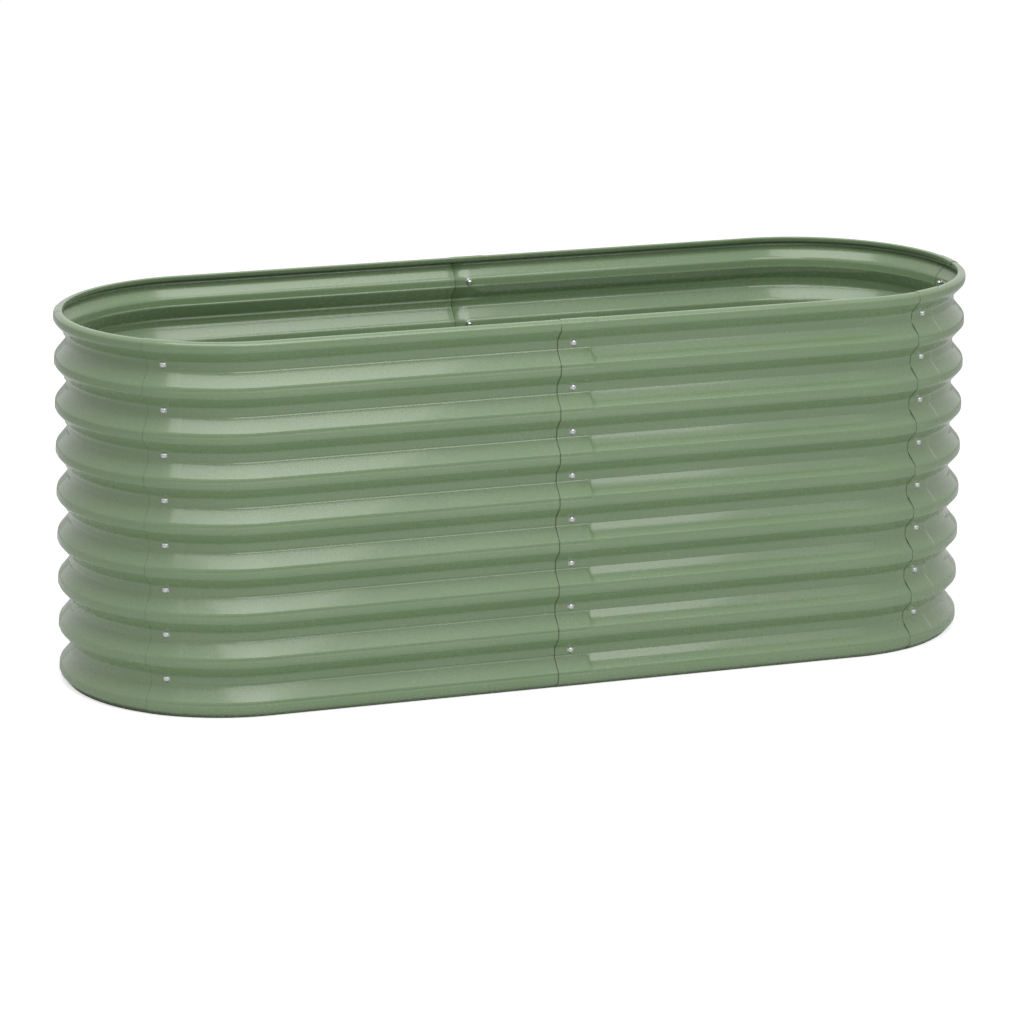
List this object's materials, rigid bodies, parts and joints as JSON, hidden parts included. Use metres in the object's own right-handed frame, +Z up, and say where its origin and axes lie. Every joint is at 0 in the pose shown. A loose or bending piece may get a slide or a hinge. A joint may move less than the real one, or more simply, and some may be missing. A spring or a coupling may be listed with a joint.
{
  "type": "raised garden bed",
  "caption": "Tall oval raised garden bed: an open-bottomed ring of lapped, bolted corrugated steel panels with a rolled rim and round ends.",
  "frame": {"origin": "on the ground, under the middle of the bed", "axes": "X along the bed's length, the front faces -Y, +Z up"},
  "size_m": [1.8809, 0.6498, 0.7369],
  "materials": {
    "painted_steel": "smooth satin-gloss sage green coating on corrugated steel",
    "zinc_steel": "bright zinc-plated steel"
  },
  "bodies": {
    "root": {"front_right_side_panel": "painted_steel", "back_left_side_panel": "painted_steel", "right_end_front_panel": "painted_steel", "left_end_front_panel": "painted_steel", "back_right_side_panel": "painted_steel", "front_left_side_panel": "painted_steel", "front_seam_bolts": "zinc_steel", "back_seam_bolts": "zinc_steel", "right_end_front_seam_bolts": "zinc_steel", "right_end_middle_seam_bolts": "zinc_steel", "left_end_middle_seam_bolts": "zinc_steel", "left_end_front_seam_bolts": "zinc_steel", "front_seam_washers": "zinc_steel", "back_seam_washers": "zinc_steel", "right_end_front_seam_washers": "zinc_steel", "right_end_middle_seam_washers": "zinc_steel", "left_end_middle_seam_washers": "zinc_steel", "left_end_front_seam_washers": "zinc_steel", "front_seam_nuts": "zinc_steel", "back_seam_nuts": "zinc_steel", "right_end_front_seam_nuts": "zinc_steel", "right_end_middle_seam_nuts": "zinc_steel", "left_end_middle_seam_nuts": "zinc_steel", "left_end_front_seam_nuts": "zinc_steel"}
  },
  "joints": []
}
